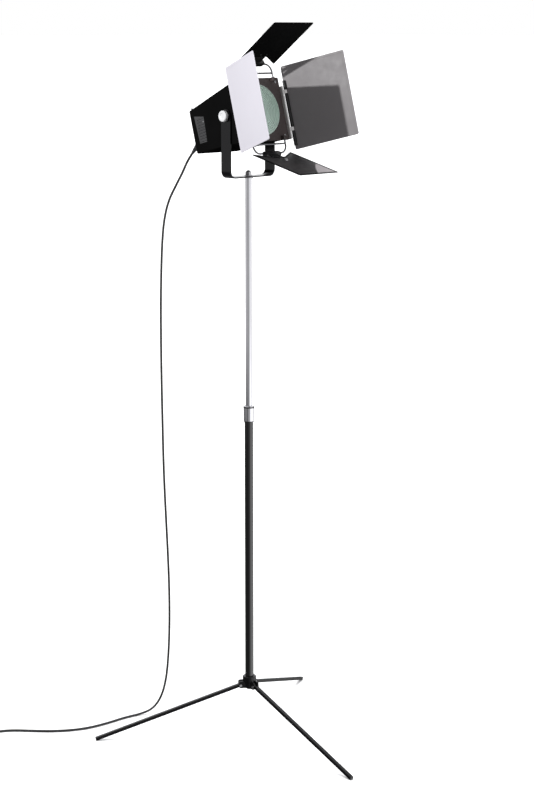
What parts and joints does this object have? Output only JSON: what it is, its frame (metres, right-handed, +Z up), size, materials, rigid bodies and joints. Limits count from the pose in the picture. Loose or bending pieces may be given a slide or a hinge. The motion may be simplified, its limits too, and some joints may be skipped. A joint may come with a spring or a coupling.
{
  "type": "fresnel spotlight",
  "caption": "Studio fresnel spotlight with hinged barn doors in a tilting yoke on a telescoping pole with folding tripod legs.",
  "frame": {"origin": "on the floor at the pole's axis", "axes": "+Z up along the pole, -Y the way the lamp faces at rest, +X to the side, along the tilt axis"},
  "size_m": [0.8523, 0.93, 1.6689],
  "materials": {
    "black_steel": "semi-gloss black paint",
    "black_tube": "gloss black paint",
    "chrome": "polished",
    "rod_steel": "bright drawn rod",
    "bracket_alloy": "satin",
    "bright_nut": "plated",
    "housing_black": "satin black paint",
    "vent_grey": "satin grey paint",
    "plate_brown": "satin dark bronze paint",
    "lens_glass": "pale green heat-resistant glass",
    "silver_knob": "turned",
    "door_outside": "satin pale grey paint",
    "door_black": "gloss black paint",
    "hinge_black": "satin black paint",
    "screw_steel": "plated",
    "bush_plastic": "moulded black",
    "reflector_bright": "polished aluminium",
    "porcelain": "glazed",
    "lamp_glass": "frosted",
    "cord_black": "black lead",
    "plug_black": "moulded black",
    "switch_plastic": "moulded black"
  },
  "bodies": {
    "root": {"leg_hub": "black_steel", "leg_pivot_bolts": "bright_nut", "hub_bolt": "black_steel", "lower_tube": "black_tube", "collar_socket": "black_tube", "collar_bush": "bush_plastic", "stop_sleeve": "bush_plastic", "cord_lower": "cord_black", "cord_coil": "cord_black", "cord_tail": "cord_black", "cord_tie": "bush_plastic", "plug": "plug_black"},
    "leg_front": {"leg_front": "black_steel"},
    "leg_left": {"leg_left": "black_steel"},
    "leg_right": {"leg_right": "black_steel"},
    "lock_ring": {"lock_ring": "chrome", "lock_ring_band": "bush_plastic"},
    "mast": {"upper_pole": "chrome", "pole_guide": "bush_plastic", "pole_top_stud": "bright_nut", "yoke_washers": "bright_nut", "yoke_cap_nut": "bright_nut"},
    "yoke": {"yoke": "black_steel", "cord_middle": "cord_black"},
    "head": {"housing": "housing_black", "rear_cover": "housing_black", "cover_screws": "screw_steel", "vent_grilles": "vent_grey", "switch_case": "switch_plastic", "friction_washers": "bush_plastic", "tilt_nuts": "bright_nut", "front_plate": "plate_brown", "front_screws": "screw_steel", "lens": "lens_glass", "lens_ring": "screw_steel", "cord_gland": "bush_plastic", "bail_top": "rod_steel", "bail_bottom": "rod_steel", "bail_blocks": "plate_brown", "side_bracket_left": "bracket_alloy", "side_bracket_right": "bracket_alloy", "hinge_pins": "rod_steel", "cord_upper": "cord_black"},
    "focus": {"focus_rod": "bright_nut", "focus_knob": "bush_plastic", "focus_carriage": "bright_nut", "lamp_holder": "porcelain", "bulb": "lamp_glass", "reflector": "reflector_bright"},
    "switch": {"switch_rocker": "switch_plastic"},
    "tilt_knob_left": {"tilt_knob_left": "silver_knob"},
    "tilt_knob_right": {"tilt_knob_right": "silver_knob"},
    "leaf_top": {"leaf_top": "door_black", "leaf_hinge_top": "hinge_black"},
    "leaf_bottom": {"leaf_bottom": "door_black", "leaf_hinge_bottom": "hinge_black"},
    "leaf_left": {"leaf_left": "door_outside", "leaf_hinge_left": "hinge_black"},
    "leaf_right": {"leaf_right": "door_outside", "leaf_hinge_right": "hinge_black"}
  },
  "joints": [
    {"name": "leg_fold_front", "type": "hinge", "parent": "root", "child": "leg_front", "pos_m": [-0.00192, -0.02192, 0.1187], "axis": [0.9962, -0.0872, 0], "range_deg": [0, 65]},
    {"name": "leg_fold_left", "type": "hinge", "parent": "root", "child": "leg_left", "pos_m": [0.01994, 0.0093, 0.1187], "axis": [-0.4226, 0.9063, 0], "range_deg": [0, 65]},
    {"name": "leg_fold_right", "type": "hinge", "parent": "root", "child": "leg_right", "pos_m": [-0.01802, 0.01262, 0.1187], "axis": [-0.5736, -0.8192, 0], "range_deg": [0, 65]},
    {"name": "lock_ring_twist", "type": "hinge", "parent": "root", "child": "lock_ring", "pos_m": [0, 0, 0.783], "axis": [0, 0, 1], "range_deg": [0, 270]},
    {"name": "mast_slide", "type": "slide", "parent": "root", "child": "mast", "axis": [0, 0, 1], "range_m": [-0.5, 0], "deforming": ["cord_lower"]},
    {"name": "yoke_pan", "type": "hinge", "parent": "mast", "child": "yoke", "pos_m": [0, 0, 1.3295], "axis": [0, 0, 1], "range_deg": [-170, 170], "deforming": ["cord_middle"]},
    {"name": "head_tilt", "type": "hinge", "parent": "yoke", "child": "head", "pos_m": [0, 0, 1.466], "axis": [-1, 0, 0], "range_deg": [-25, 30], "deforming": ["cord_upper"]},
    {"name": "focus_slide", "type": "slide", "parent": "head", "child": "focus", "axis": [0, -0.9636, 0.2672], "range_m": [-0.02, 0.012]},
    {"name": "switch_rock", "type": "hinge", "parent": "head", "child": "switch", "pos_m": [0.0305, 0.10529, 1.40411], "axis": [1, 0, 0], "range_deg": [0, 14]},
    {"name": "tilt_knob_left_turn", "type": "hinge", "parent": "head", "child": "tilt_knob_left", "pos_m": [0.078, 0, 1.466], "axis": [1, 0, 0], "range_deg": [0, 360]},
    {"name": "tilt_knob_right_turn", "type": "hinge", "parent": "head", "child": "tilt_knob_right", "pos_m": [-0.078, 0, 1.466], "axis": [-1, 0, 0], "range_deg": [0, 360]},
    {"name": "leaf_top_swing", "type": "hinge", "parent": "head", "child": "leaf_top", "pos_m": [0, -0.01941, 1.57786], "axis": [-1, 0, 0], "range_deg": [-55.2, 69.8]},
    {"name": "leaf_bottom_swing", "type": "hinge", "parent": "head", "child": "leaf_bottom", "pos_m": [0, -0.07302, 1.38455], "axis": [1, 0, 0], "range_deg": [-64.2, 40.8]},
    {"name": "leaf_left_swing", "type": "hinge", "parent": "head", "child": "leaf_left", "pos_m": [0.0819, -0.04622, 1.4812], "axis": [0, 0.2672, 0.9636], "range_deg": [-30.4, 68.6]},
    {"name": "leaf_right_swing", "type": "hinge", "parent": "head", "child": "leaf_right", "pos_m": [-0.0819, -0.04622, 1.4812], "axis": [0, -0.2672, -0.9636], "range_deg": [-28.5, 70.5]}
  ]
}
